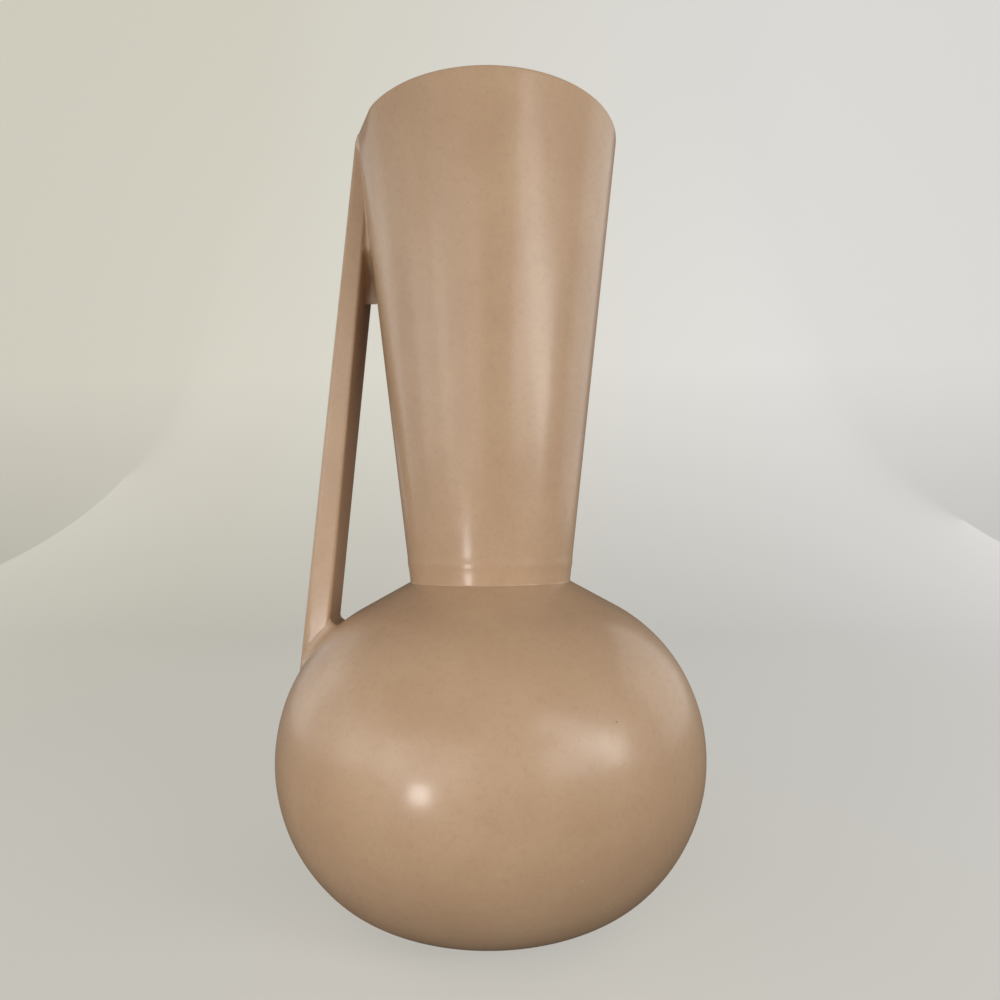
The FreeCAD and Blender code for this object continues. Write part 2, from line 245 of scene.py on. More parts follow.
def neck_radius(body, neck, z):
    """Straight cone: the radius grows in line with the height from the crease to the rim."""
    slope = (neck.mouth_radius - body.root_radius) / (neck.rim_height - body.crease_height)
    return body.root_radius + slope * (z - body.crease_height)


def flattened(neck, radius, angle):
    """The radius cut by two upright planes beside the handle, softly: plane distance over the cosine."""
    distance = neck.mouth_radius - neck.flat_depth
    soft = neck.flat_soft
    facing = 0.5
    far = 1.0
    result = radius
    for side in (1, -1):
        cosine = np.cos(angle - (math.pi + side * neck.flat_angle))
        chord = np.where(cosine > facing, distance / np.maximum(cosine, facing), far)
        gap = result - chord
        result = np.where(gap > -6 * soft, result - soft * np.logaddexp(0, gap / soft), result)
    return result


def shoulder_angles(body):
    """Belly circle centre, underside circle centre, and the two angles at which the arcs hand over."""
    bx = body.belly_radius - body.belly_arc
    uz = body.foot_height + body.under_arc
    ux = bx + math.sqrt((body.belly_arc - body.under_arc) ** 2 - (body.belly_height - uz) ** 2)
    turn = math.atan2(uz - body.belly_height, ux - bx)
    dx = body.root_radius - bx
    dz = body.crease_height - body.belly_height
    top = math.atan2(dz, dx) - math.acos(body.belly_arc / math.hypot(dx, dz))
    return bx, ux, uz, turn, top


def shoulder_height(body, radius, offset=0.0):
    """Height of the shoulder, pushed out along its normal by offset: straight line, then belly arc."""
    bx, _, _, _, top = shoulder_angles(body)
    arc = body.belly_arc + offset
    join = bx + arc * math.cos(top)
    line = body.belly_height + arc * math.sin(top) - (radius - join) / math.tan(top)
    inside = np.maximum(arc ** 2 - (radius - bx) ** 2, 0)
    return np.where(radius < join, line, body.belly_height + np.sqrt(inside))


def arc_points(cx, cz, radius, start, end, count):
    """Points of a circle's arc in the meridian plane, from one angle to another."""
    a = np.linspace(start, end, count)
    return np.stack([cx + radius * np.cos(a), cz + radius * np.sin(a)], 1)


def line_points(a, b, count):
    """Evenly spaced points from a to b."""
    t = np.linspace(0, 1, count)[:, None]
    return np.array(a)[None, :] * (1 - t) + np.array(b)[None, :] * t


def joined(parts):
    """Profile made of several runs of points, without the points that repeat."""
    points = np.concatenate(parts)
    step = np.linalg.norm(np.diff(points, axis=0), axis=1)
    return points[np.concatenate([[True], step > 1e-7])]


def lathe(profile, segments, reshape=None):
    """Grid of a profile turned about Z: x = r cos a, y = r sin a, r reshaped by angle and height."""
    angle = np.linspace(0, math.tau, segments, endpoint=False)[None, :]
    radius = profile[:, :1] + 0 * angle
    height = profile[:, 1:] + 0 * angle
    if reshape is not None:
        radius = reshape(radius, angle, height)
    return np.stack([radius * np.cos(angle), radius * np.sin(angle), height], 2)


def grid_object(name, grid, start_cap=True, end_cap=True, closed_rows=False):
    """Closed mesh of a grid whose rows are rings: quads between rings and a fan at each end."""
    rows, cols, _ = grid.shape
    index = np.arange(rows * cols).reshape(rows, cols)
    ring = np.roll(index, -1, 1)
    if closed_rows:
        below, above, below_next, above_next = index, np.roll(index, -1, 0), ring, np.roll(ring, -1, 0)
    else:
        below, above, below_next, above_next = index[:-1], index[1:], ring[:-1], ring[1:]
    quads = np.stack([below, below_next, above_next, above], 2).reshape(-1, 4)
    points = [grid.reshape(-1, 3)]
    fans = []
    count = rows * cols
    for wanted, row in ((start_cap, 0), (end_cap, rows - 1)):
        if wanted and not closed_rows:
            points.append(grid[row].mean(0)[None, :])
            pair = (index[row], ring[row]) if row else (ring[row], index[row])
            fans.append(np.stack([pair[0], pair[1], np.full(cols, count)], 1))
            count += 1
    points = np.concatenate(points)
    faces = quads.tolist() + [f for fan in fans for f in fan.tolist()]
    a, b, c, d = (points[quads[:, i]] for i in range(4))
    volume = np.sum(np.cross(a, b) * c) + np.sum(np.cross(a, c) * d)
    for fan in fans:
        volume += np.sum(np.cross(points[fan[:, 0]], points[fan[:, 1]]) * points[fan[:, 2]])
    if volume < 0:
        faces = [f[::-1] for f in faces]
    mesh = bpy.data.meshes.new(name)
    mesh.from_pydata(points, [], faces)
    mesh.polygons.foreach_set("use_smooth", np.ones(len(faces), bool))
    mesh.set_sharp_from_angle(angle=SHARP_ANGLE)
    mesh.update()
    obj = bpy.data.objects.new(name, mesh)
    bpy.context.scene.collection.objects.link(obj)
    return obj


def settle(obj, material, slot, *nodes):
    """Gives the finished piece its glaze and its body, and hides the CAD nodes that it stands for."""
    obj.data.materials.append(material)
    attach(obj, "root")
    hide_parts(*nodes)


def node(tree, kind, x, y, **values):
    """New node at a place of the tree's layout, with its own settings."""
    n = tree.nodes.new(kind)
    n.location = (x, y)
    for key, value in values.items():
        setattr(n, key, value)
    return n


def noise(tree, source, sizes, x, y):
    """Noise between 0 and 1, from its scale, detail and roughness."""
    scale, detail, roughness = sizes
    n = node(tree, "ShaderNodeTexNoise", x, y)
    n.inputs["Scale"].default_value = scale
    n.inputs["Detail"].default_value = detail
    n.inputs["Roughness"].default_value = roughness
    tree.links.new(source, n.inputs["Vector"])
    return n.outputs["Fac"]


def ranged(tree, source, low, high, to_low, to_high, x, y):
    """The value's range from low to high, brought in line to a new range and kept inside it."""
    n = node(tree, "ShaderNodeMapRange", x, y)
    n.inputs["From Min"].default_value = low
    n.inputs["From Max"].default_value = high
    n.inputs["To Min"].default_value = to_low
    n.inputs["To Max"].default_value = to_high
    tree.links.new(source, n.inputs["Value"])
    return n.outputs["Result"]


def mixed(tree, factor, a, b, x, y):
    """Colour between a and b, each of which is a colour or a socket."""
    n = node(tree, "ShaderNodeMix", x, y, data_type="RGBA")
    tree.links.new(factor, n.inputs["Factor"])
    for value, socket in ((a, n.inputs["A"]), (b, n.inputs["B"])):
        if isinstance(value, bpy.types.NodeSocket):
            tree.links.new(value, socket)
        else:
            socket.default_value = (*value, 1)
    return n.outputs["Result"]


def scattered(tree, source, spacing, radius, rarity, x, y):
    """Dots of one radius in about one of rarity cells of a loose grid: 1 in a dot and 0 outside."""
    cells = node(tree, "ShaderNodeTexVoronoi", x, y)
    cells.inputs["Scale"].default_value = 1 / spacing
    tree.links.new(source, cells.inputs["Vector"])
    rim = radius / spacing
    dot = ranged(tree, cells.outputs["Distance"], rim, rim * 0.5, 0, 1, x + 180, y)
    split = node(tree, "ShaderNodeSeparateColor", x + 180, y - 180)
    tree.links.new(cells.outputs["Color"], split.inputs["Color"])
    chosen = node(tree, "ShaderNodeMath", x + 360, y - 180, operation="GREATER_THAN")
    tree.links.new(split.outputs["Red"], chosen.inputs[0])
    chosen.inputs[1].default_value = 1 - 1 / rarity
    both = node(tree, "ShaderNodeMath", x + 540, y, operation="MULTIPLY")
    tree.links.new(dot, both.inputs[0])
    tree.links.new(chosen.outputs[0], both.inputs[1])
    return both.outputs[0]


def bumped(tree, height, distance, normal, inward, x, y):
    """Normal of a surface that rises by the distance where the height is 1, or sinks where inward."""
    bump = node(tree, "ShaderNodeBump", x, y, invert=inward)
    bump.inputs["Strength"].default_value = 1
    bump.inputs["Distance"].default_value = distance
    tree.links.new(height, bump.inputs["Height"])
    if normal:
        tree.links.new(normal, bump.inputs["Normal"])
    return bump.outputs["Normal"]


def glaze(name, look):
    """Satin glaze: two near tones in soft clouds, fine grain, rare pinholes and pale flecks."""
    material = bpy.data.materials.get(name)
    if material:
        return material
    material = bpy.data.materials.new(name)
    material.use_nodes = True
    tree = material.node_tree
    shader = tree.nodes["Principled BSDF"]
    place = node(tree, "ShaderNodeTexCoord", -1500, 0).outputs["Object"]
    clouds = noise(tree, place, CLOUD_NOISE, -1250, 300)
    mottle = noise(tree, place, MOTTLE_NOISE, -1250, 50)
    speckle = noise(tree, place, SPECKLE_NOISE, -1250, -200)
    swell = noise(tree, place, SWELL_NOISE, -1250, -450)
    cloud_share = ranged(tree, clouds, *CLOUD_BAND, 0, 1, -1000, 300)
    tone = mixed(tree, cloud_share, look.dark, look.light, -700, 300)
    deep = [look.deepening * c for c in look.dark]
    mottle_share = ranged(tree, mottle, *MOTTLE_BAND, 0, look.mottle, -1000, 50)
    tone = mixed(tree, mottle_share, tone, deep, -500, 300)
    pale = [min(1, look.paling * c) for c in look.light]
    speckle_share = ranged(tree, speckle, *SPECKLE_BAND, 0, look.speckle, -1000, -200)
    tone = mixed(tree, speckle_share, tone, pale, -300, 300)
    pits = scattered(tree, place, look.pit_spacing, look.pit_radius, look.pit_rarity, -1250, -800)
    flecks = scattered(
        tree, place, look.fleck_spacing, look.fleck_radius, look.fleck_rarity, -1250, -1150)
    tone = mixed(tree, flecks, tone, look.fleck, -100, 300)
    tone = mixed(tree, pits, tone, look.pit, 60, 300)
    tree.links.new(tone, shader.inputs["Base Color"])
    shader.inputs["Specular IOR Level"].default_value = look.gloss
    shader.inputs["Coat Weight"].default_value = look.coat
    shader.inputs["Coat Roughness"].default_value = look.coat_roughness
    rough_low = look.roughness - look.roughness_spread
    rough_high = look.roughness + look.roughness_spread
    rough = ranged(tree, mottle, *ROUGH_BAND, rough_low, rough_high, -300, -100)
    tree.links.new(rough, shader.inputs["Roughness"])
    normal = bumped(tree, swell, look.swell, None, False, -300, -500)
    normal = bumped(tree, mottle, look.grain, normal, False, -100, -500)
    normal = bumped(tree, pits, look.pit_depth, normal, True, 100, -500)
    tree.links.new(normal, shader.inputs["Normal"])
    return material


class VASE_OT_body(Operator):
    """Round body: shoulder line, belly arc and underside arc turned about Z, hollow inside."""
    bl_idname = "vase.body"
    bl_label = "Body"

    def execute(self, context):
        body = context.scene.vase_body
        neck = context.scene.vase_neck
        bx, ux, uz, turn, top = shoulder_angles(body)
        crease = (body.root_radius, body.crease_height)
        throat = body.root_radius - neck.wall
        low = -math.acos((body.foot_radius - ux) / body.under_arc)
        ring_in = body.foot_radius - body.foot_width
        edge = body.foot_round
        inner_belly = body.belly_arc - body.wall
        inner_under = body.under_arc - body.wall
        floor = body.foot_height + body.wall
        shoulder_end = arc_points(bx, body.belly_height, body.belly_arc, top, top, 1)[0]
        inner_end = arc_points(bx, body.belly_height, inner_belly, top, top, 1)[0]
        throat_z = inner_end[1] + (inner_end[0] - throat) / math.tan(top)
        foot_top = arc_points(ux, uz, body.under_arc, low, low, 1)[0]
        profile = joined([
            line_points((POLE, body.foot_height), (ring_in, body.foot_height), 8),
            line_points((ring_in, body.foot_height), (ring_in, edge), 3),
            arc_points(ring_in + edge, edge, edge, math.pi, 1.5 * math.pi, 6),
            arc_points(body.foot_radius - edge, edge, edge, -math.pi / 2, 0, 6),
            line_points((body.foot_radius, edge), foot_top, 3),
            arc_points(ux, uz, body.under_arc, low, turn, 50),
            arc_points(bx, body.belly_height, body.belly_arc, turn, top, 90),
            line_points(shoulder_end, crease, 24),
            line_points(crease, (throat, body.crease_height), 3),
            line_points((throat, body.crease_height), (throat, throat_z), 3),
            line_points((throat, throat_z), inner_end, 12),
            arc_points(bx, body.belly_height, inner_belly, top, turn, 40),
            arc_points(ux, uz, inner_under, turn, -math.pi / 2, 20),
            line_points((ux, floor), (POLE, floor), 6),
        ])

        def wavering(radius, angle, height):
            """The radius less up to the unevenness, by a sum of waves that fades at crease and foot."""
            wave = 0
            for turns, rate, start, amount in BODY_WAVES:
                wave = wave + np.sin(turns * angle + rate * height + start) * amount
            below_crease = np.clip((radius - body.root_radius) / body.waver_fade, 0, 1)
            above_foot = np.clip((height - body.true_height) / body.waver_fade, 0, 1)
            return radius - body.unevenness * (0.5 + 0.5 * wave) * below_crease * above_foot

        obj = grid_object("body_skin", lathe(profile, ROUND_SEGMENTS, wavering))
        settle(obj, glaze("body satin glaze", context.scene.vase_glaze), "body_glaze", "body")
        return {"FINISHED"}


class VASE_OT_neck(Operator):
    """Flaring neck: a straight cone with a rounded lip, cut by two flats beside the handle."""
    bl_idname = "vase.neck"
    bl_label = "Neck"

    def execute(self, context):
        body = context.scene.vase_body
        neck = context.scene.vase_neck
        rim = neck.rim_height
        foot = body.crease_height
        throat = body.root_radius - neck.wall
        mouth = neck.mouth_radius - neck.wall
        outer, inner = neck.lip_outer, neck.lip_inner
        slope = math.atan2(neck.mouth_radius - body.root_radius, rim - foot)
        lip_r = neck.mouth_radius - outer * (1 + math.sin(slope)) / math.cos(slope)
        bore_r = mouth + inner * (1 - math.sin(slope)) / math.cos(slope)
        lip_start = (lip_r + outer * math.cos(slope), rim - outer * (1 + math.sin(slope)))
        lip_end = (bore_r - inner * math.cos(slope), rim - inner * (1 - math.sin(slope)))
        profile = joined([
            line_points((throat, foot), (body.root_radius - neck.edge, foot), 3),
            line_points((body.root_radius, foot), lip_start, 150),
            arc_points(lip_r, rim - outer, outer, -slope, math.pi / 2, 8),
            line_points((lip_r, rim), (bore_r, rim), 3),
            arc_points(bore_r, rim - inner, inner, math.pi / 2, math.pi - slope, 10),
            line_points(lip_end, (throat, foot), 60),
        ])

        def pressed(radius, angle, height):
            """The outside's radius less the flats and plus the faint ring; the bore stays as it is."""
            outside = neck_radius(body, neck, height)
            near = np.clip((radius - outside + neck.wall * 0.8) / (neck.wall * 0.6), 0, 1)
            cut = flattened(neck, outside, angle) - outside
            from_ring = (height - foot - neck.ripple_height) / neck.ripple_width
            return radius + near * (cut + np.exp(-from_ring ** 2) * neck.ripple_depth)

        obj = grid_object("neck_skin", lathe(profile, NECK_SEGMENTS, pressed), False, False, True)
        settle(obj, glaze("neck satin glaze", context.scene.vase_glaze), "neck_glaze", "neck")
        return {"FINISHED"}


class VASE_OT_crease(Operator):
    """Slip in the crease: a hollow arc that touches both cones, neck and shoulder, turned about Z."""
    bl_idname = "vase.crease"
    bl_label = "Crease slip"

    def execute(self, context):
        body = context.scene.vase_body
        neck = context.scene.vase_neck
        slip = context.scene.vase_slip
        top = shoulder_angles(body)[4]
        slope = math.atan2(neck.mouth_radius - body.root_radius, neck.rim_height - body.crease_height)
        ball = slip.bead_round
        # the ball's centre is one radius off both cones
        shoulder = np.array([math.cos(top), math.sin(top)])
        wall = np.array([math.cos(slope), -math.sin(slope)])
        crease = np.array([body.root_radius, body.crease_height])
        centre = crease + np.linalg.solve(np.array([shoulder, wall]), np.array([ball, ball]))
        start = math.atan2(-shoulder[1], -shoulder[0])
        end = math.atan2(-wall[1], -wall[0]) - math.tau
        sweep = arc_points(centre[0], centre[1], ball, start, end, 12)
        deep = body.root_radius - neck.wall * 0.5
        profile = joined([
            sweep,
            line_points(sweep[-1] - slip.bead_tuck * wall, (deep, sweep[-1][1]), 2),
            line_points((deep, sweep[-1][1]), (deep, sweep[0][1]), 2),
            line_points((deep, sweep[0][1]), sweep[0] - slip.bead_tuck * shoulder, 2),
        ])
        obj = grid_object("crease_slip", lathe(profile, ROUND_SEGMENTS), False, False, True)
        coat = glaze("slip satin glaze", context.scene.vase_glaze)
        settle(obj, coat, "glazed_slip", "neck_slip_joint")
        return {"FINISHED"}


def strap_sizes(strap, neck, z):
    """Reach, inner face, half width, crown centre and corner centre of the strap at height z."""
    s = strap_share(strap, neck, z)
    reach = strap.rim_reach + (strap.gauge_reach - strap.rim_reach) * s
    inner = strap.rim_inner + (strap.gauge_inner - strap.rim_inner) * s
    half = (strap.rim_width + (strap.gauge_width - strap.rim_width) * s) / 2
    crown_x = strap.crown - reach
    outer = strap.outer_round
    corner_x = crown_x - np.sqrt((strap.crown - outer) ** 2 - (half - outer) ** 2)
    return reach, inner, half, crown_x, corner_x


def strap_outline(strap, neck, z, along):
    """Outline point of the strap: crown arc, corner arc, side, inner corner arc and inner face.

    along runs from 0 at the crown's middle to 5 at the inner face's middle, and on to 10 back again
    with y < 0.
    """
    side = np.where(along > 5, -1.0, 1.0)
    t = np.where(along > 5, 10 - along, along)
    _, inner, half, crown_x, corner_x = strap_sizes(strap, neck, z)
    outer, small = strap.outer_round, strap.inner_round
    lean = np.arctan2(half - outer, crown_x - corner_x)
    a = lean * np.clip(t, 0, 1)
    b = lean + (math.pi / 2 - lean) * np.clip(t - 1, 0, 1)
    c = np.clip(t - 2, 0, 1)
    d = math.pi / 2 + math.pi / 2 * np.clip(t - 3, 0, 1)
    e = np.clip(t - 4, 0, 1)
    x = np.select(
        [t <= 1, t <= 2, t <= 3, t <= 4],
        [crown_x - strap.crown * np.cos(a), corner_x - outer * np.cos(b),
         corner_x + (-inner - small - corner_x) * c, -inner - small - small * np.cos(d)],
        -inner)
    y = np.select(
        [t <= 1, t <= 2, t <= 3, t <= 4],
        [strap.crown * np.sin(a), half - outer + outer * np.sin(b),
         half, half - small + small * np.sin(d)],
        (half - small) * (1 - e))
    return x, y * side


def outline_steps():
    """Values of along for one ring: closer together on the four small roundings."""
    half = np.concatenate([
        np.linspace(0, 1, 12, endpoint=False), np.linspace(1, 2, 9, endpoint=False),
        np.linspace(2, 3, 5, endpoint=False), np.linspace(3, 4, 7, endpoint=False),
        np.linspace(4, 5, 8)])
    return np.concatenate([half, (10 - half[1:-1])[::-1]])


class VASE_OT_strap(Operator):
    """Strap handle: a rounded outline carried in a straight line from the shoulder to the rim."""
    bl_idname = "vase.strap"
    bl_label = "Strap handle"

    def execute(self, context):
        body = context.scene.vase_body
        neck = context.scene.vase_neck
        strap = context.scene.vase_strap
        along = outline_steps()[None, :]
        low = np.full(along.shape, strap.gauge_height)
        for _ in range(STRAP_PASSES):
            x, y = strap_outline(strap, neck, low, along)
            low = shoulder_height(body, np.hypot(x, y)) - strap.bury
        top = neck.rim_height - strap.top_gap
        run = np.concatenate([np.linspace(0, 0.985, 150), np.linspace(0.9875, 1, 14)])[:, None]
        z = low + (top - low) * run
        x, y = strap_outline(strap, neck, z, along)
        depth = np.clip((z - (top - strap.top_round)) / strap.top_round, 0, 1)
        inset = strap.top_round * (1 - np.sqrt(1 - depth ** 2))
        centre_x = -(strap.rim_reach + strap.rim_inner) / 2
        reach_share = 1 - inset / (strap.rim_reach - strap.rim_inner) * 2
        x = centre_x + (x - centre_x) * reach_share
        y = y * (1 - inset / strap.rim_width * 2)
        cover = neck_radius(body, neck, z) - strap.bury
        inside = np.hypot(x, y) < cover
        x = np.where(inside, -np.sqrt(np.maximum(cover ** 2 - y ** 2, 0)), x)
        obj = grid_object("strap_skin", np.stack([x, y, z], 2))
        settle(obj, glaze("handle satin glaze", context.scene.vase_glaze), "handle_glaze", "handle")
        return {"FINISHED"}


class VASE_OT_notch(Operator):
    """Slip behind the strap's top: rings at rising heights, hollow at both sides, with buried ends.

    Up to notch_side a hollow lies at y = half width * (share of the height) ** NOTCH_POWER and sags by
    half a sine.
    Above, it is the arc of a ball that touches the neck and the strap, and grows with the gap
    between them.
    """
    bl_idname = "vase.notch"
    bl_label = "Notch slip"

    def low_hollow(self, body, neck, strap, slip, z, t):
        """Points of the hollow at heights z and shares t, and the way into the strap."""
        wall = neck_radius(body, neck, z)
        _, inner, half, _, _ = strap_sizes(strap, neck, z)
        lift = np.clip((z - slip.notch_low) / (slip.notch_side - slip.notch_low), 0, 1)
        reach = half * lift ** NOTCH_POWER
        near = -np.sqrt(wall ** 2 - reach ** 2)
        gap = np.maximum(near + inner, slip.notch_least)
        sag = np.minimum(slip.notch_sag * gap, 0.8 * reach)
        x = near - gap * t
        y = reach - sag * np.sin(math.pi * t)
        into = np.stack([-1 + 0 * z, 0 * z], 2)
        return np.stack([x, y], 2), into

    def high_hollow(self, body, neck, strap, slip, z, t):
        """Points of the ball's arc at heights z and shares t, and the way into the strap."""
        wall = neck_radius(body, neck, z)
        _, inner, half, _, corner_x = strap_sizes(strap, neck, z)
        outer, small = strap.outer_round, strap.inner_round
        edge_gap = np.hypot(inner + small, half - small) - small - wall
        ball = np.maximum(slip.web_round, slip.web_round * 0.5 + 0.5 * edge_gap)
        far = wall + ball

        def touching(px, py, radius):
            """Centre of the ball that touches the neck and a circle about px, py."""
            d = np.hypot(px, py)
            a = (d ** 2 + far ** 2 - (ball + radius) ** 2) / (2 * d)
            h = np.sqrt(np.maximum(far ** 2 - a ** 2, 0))
            return (a * px + h * py) / d, (a * py - h * px) / d

        side_x = -np.sqrt(far ** 2 - (half + ball) ** 2)
        outer_x, outer_y = touching(corner_x, half - outer, outer)
        inner_x, inner_y = touching(-inner - small, half - small, small)
        cases = [side_x < corner_x, side_x <= -inner - small]
        cx = np.select(cases, [outer_x, side_x], inner_x)
        cy = np.select(cases, [outer_y, half + ball], inner_y)
        px = np.select(cases, [corner_x, cx], -inner - small)
        py = np.select(cases, [half - outer, 0 * cy], half - small)
        to_wall = np.arctan2(-cy, -cx)
        bend = (np.arctan2(py - cy, px - cx) - to_wall + math.pi) % math.tau - math.pi
        x = cx + ball * np.cos(to_wall + bend * t)
        y = cy + ball * np.sin(to_wall + bend * t)
        # towards the rim the hollow turns into a straight continuation of the rim's flat
        rise = np.clip((z - neck.rim_height + slip.rim_web) / slip.rim_web, 0, 1)
        rise = rise ** 2 * (3 - 2 * rise)
        flat_end = neck.flat_angle - math.acos(1 - neck.flat_depth / neck.mouth_radius)
        start_x = -wall * math.cos(flat_end)
        start_y = wall * math.sin(flat_end)
        end_x = corner_x - outer * math.cos(neck.flat_angle)
        end_y = half - outer + outer * math.sin(neck.flat_angle)
        x = x + rise * (start_x + (end_x - start_x) * t - x)
        y = y + rise * (start_y + (end_y - start_y) * t - y)
        into = np.stack([np.cos(to_wall + bend), np.sin(to_wall + bend)], 2)
        return np.stack([x, y], 2), into

    def execute(self, context):
        scene = context.scene
        body, neck, slip = scene.vase_body, scene.vase_neck, scene.vase_slip
        sizes = (body, neck, scene.vase_strap, slip)
        shares = np.linspace(0.04, 1, 40) ** 2
        z = np.concatenate([
            slip.notch_low + (slip.notch_side - slip.notch_low) * shares[:-1],
            np.linspace(slip.notch_side, neck.rim_height - slip.top_gap, 120)])[:, None]
        t = np.linspace(0, 1, 15)[None, :]
        low, low_into = self.low_hollow(*sizes, z, t)
        high, high_into = self.high_hollow(*sizes, np.maximum(z, slip.notch_side - slip.blend), t)
        rise = np.clip((z - slip.notch_side + slip.blend) / (2 * slip.blend), 0, 1)[:, :, None]
        rise = rise ** 2 * (3 - 2 * rise)
        hollow = low + rise * (high - low)
        into = low_into + rise * (high_into - low_into)
        buried = hollow[:, :1] * (1 - slip.notch_into_neck / neck_radius(body, neck, z))[:, :, None]
        half_ring = np.concatenate([buried, hollow, hollow[:, -1:] + slip.notch_into_strap * into], 1)
        ring = np.concatenate([half_ring, half_ring[:, ::-1] * np.array([1, -1])], 1)
        grid = np.concatenate([ring, (z + 0 * ring[:, :, 0])[:, :, None]], 2)
        obj = grid_object("notch_slip", grid)
        settle(obj, glaze("slip satin glaze", scene.vase_glaze), "glazed_slip", "handle_top_luting")
        return {"FINISHED"}


class VASE_OT_foot(Operator):
    """Fillet round the strap's foot: the arc of a ball that rolls between the strap and the shoulder."""
    bl_idname = "vase.foot"
    bl_label = "Foot slip"

    def execute(self, context):
        body = context.scene.vase_body
        neck = context.scene.vase_neck
        strap = context.scene.vase_strap
        slip = context.scene.vase_slip
        along = outline_steps()
        bx, _, _, _, top = shoulder_angles(body)

        def surface(z):
            """Strap point and its outward normal, from differences along the outline and in height."""
            x, y = strap_outline(strap, neck, z, along)
            x2, y2 = strap_outline(strap, neck, z + HEIGHT_STEP, along)
            ahead = strap_outline(strap, neck, z, (along + OUTLINE_STEP) % 10)
            behind = strap_outline(strap, neck, z, (along - OUTLINE_STEP) % 10)
            turn = np.stack([ahead[0] - behind[0], ahead[1] - behind[1], 0 * x], 1)
            climb = np.stack([x2 - x, y2 - y, 0 * x + HEIGHT_STEP], 1)
            normal = np.cross(turn, climb)
            normal /= np.linalg.norm(normal, axis=1)[:, None]
            point = np.stack([x, y, z], 1)
            outward = np.sum(normal[:, :2] * (point[:, :2] - point[:, :2].mean(0)), 1) < 0
            return point, np.where(outward[:, None], -normal, normal)

        z = np.full(along.shape, strap.gauge_height)
        for _ in range(FOOT_PASSES):
            point, normal = surface(z)
            front = np.clip(-normal[:, 0], 0, 1)
            back = np.clip(normal[:, 0], 0, 1)
            ball = slip.side_fillet + (slip.outer_fillet - slip.side_fillet) * front ** 3
            ball = ball + (slip.inner_fillet - slip.side_fillet) * back ** 2
            centre = point + ball[:, None] * normal
            radius = np.hypot(centre[:, 0], centre[:, 1])
            goal = shoulder_height(body, radius, ball) - ball * normal[:, 2]
            z = z + FOOT_STEP * (goal - z)
        point, normal = surface(z)
        centre = point + ball[:, None] * normal
        radius = np.hypot(centre[:, 0], centre[:, 1])
        straight = radius < bx + (body.belly_arc + ball) * math.cos(top)
        out_r = np.where(straight, math.cos(top), (radius - bx) / (body.belly_arc + ball))
        out_z = np.where(straight, math.sin(top), np.sqrt(np.maximum(1 - out_r ** 2, 0)))
        skin = np.stack([out_r * centre[:, 0] / radius, out_r * centre[:, 1] / radius, out_z], 1)
        cosine = np.clip(np.sum(normal * skin, 1), -1, 1)
        angle = np.arccos(cosine)[None, :, None]
        t = np.linspace(0, 1, 17)[:, None, None]
        mix = (np.sin((1 - t) * angle) * normal + np.sin(t * angle) * skin) / np.sin(angle)
        rows = centre - ball[:, None] * mix
        middle = normal + skin
        middle /= np.linalg.norm(middle, axis=1)[:, None]
        corner = centre - (ball / np.cos(angle[0, :, 0] / 2) + slip.foot_core)[:, None] * middle
        tuck = slip.foot_tuck
        grid = np.concatenate([rows[:1] - tuck * normal, rows, rows[-1:] - tuck * skin, corner[None]])
        obj = grid_object("foot_slip", grid, False, False, True)
        coat = glaze("slip satin glaze", context.scene.vase_glaze)
        settle(obj, coat, "glazed_slip", "handle_foot_luting")
        return {"FINISHED"}


def floor_material(name, look):
    """Matt floor: bouncing light meets the bounce colour, and the camera sees the floor's and a glow.
    The glow holds painted shade: it is dimmer and warmer at the left, and lower on the floor than on the
    backdrop.
    """
    material = bpy.data.materials.new(name)
    material.use_nodes = True
    tree = material.node_tree
    shader = tree.nodes["Principled BSDF"]
    shader.inputs["Roughness"].default_value = look.roughness
    path = node(tree, "ShaderNodeLightPath", -500, 0)
    shown = mixed(tree, path.outputs["Is Camera Ray"], look.bounce, look.floor, -250, 0)
    tree.links.new(shown, shader.inputs["Base Color"])
    place = node(tree, "ShaderNodeSeparateXYZ", -800, -300)
    tree.links.new(node(tree, "ShaderNodeTexCoord", -1000, -300).outputs["Object"], place.inputs[0])
    # painted shade: across X the glow goes from the dimmer, warmer left tone to the paler right tone
    across = ranged(tree, place.outputs["X"], -look.glow_reach, look.glow_reach, 0, 1, -600, -250)
    glow = mixed(tree, across, look.left_shade_glow, look.right_glow, -250, -250)
    tree.links.new(glow, shader.inputs["Emission Color"])
    # painted shade: the glow falls towards the table, so the floor shows darker than the backdrop
    level = ranged(tree, place.outputs["Z"], 0, look.glow_height, look.floor_shade_glow, 1, -600, -500)
    shine = node(tree, "ShaderNodeMath", -250, -500, operation="MULTIPLY")
    tree.links.new(level, shine.inputs[0])
    tree.links.new(path.outputs["Is Camera Ray"], shine.inputs[1])
    tree.links.new(shine.outputs[0], shader.inputs["Emission Strength"])
    return material


LAMP_COLOUR = (1.0, 0.98, 0.95)
SKY_COLOUR = (1.0, 0.985, 0.96)
LEVEL = (0, 0, 0)
# name, place, aim, size, power, direction of the first side
LAMPS = (
    ("front left key", (-0.50, -1.05, 0.28), (0, 0, 0.16), (1.0, 0.6), 3.45, LEVEL),
    ("low right", (0.75, -0.60, 0.26), (0, 0, 0.16), (0.8, 0.34), 3.0, LEVEL),
    ("low left", (-0.80, -0.55, 0.26), (0, 0, 0.16), (0.7, 0.34), 1.4, LEVEL),
    ("right band", (0.50, -0.415, 0.33), (0.02, -0.04, 0.22), (0.59, 0.16), 1.15, (0, 0.47, -0.36)),
    ("left panel", (-0.95, -0.05, 0.32), (0, 0, 0.16), (1.1, 0.6), 1.3, LEVEL),
    ("right back", (1.00, 0.60, 0.46), (0, 0, 0.16), (1.0, 0.9), 3.2, LEVEL),
    ("left back", (-1.10, 0.70, 0.46), (0, 0, 0.16), (1.0, 0.9), 2.1, LEVEL),
    ("glint", (-0.158, -0.335, 0.030), (-0.01, -0.05, 0.10), (0.045, 0.05), 0.22, LEVEL),
)


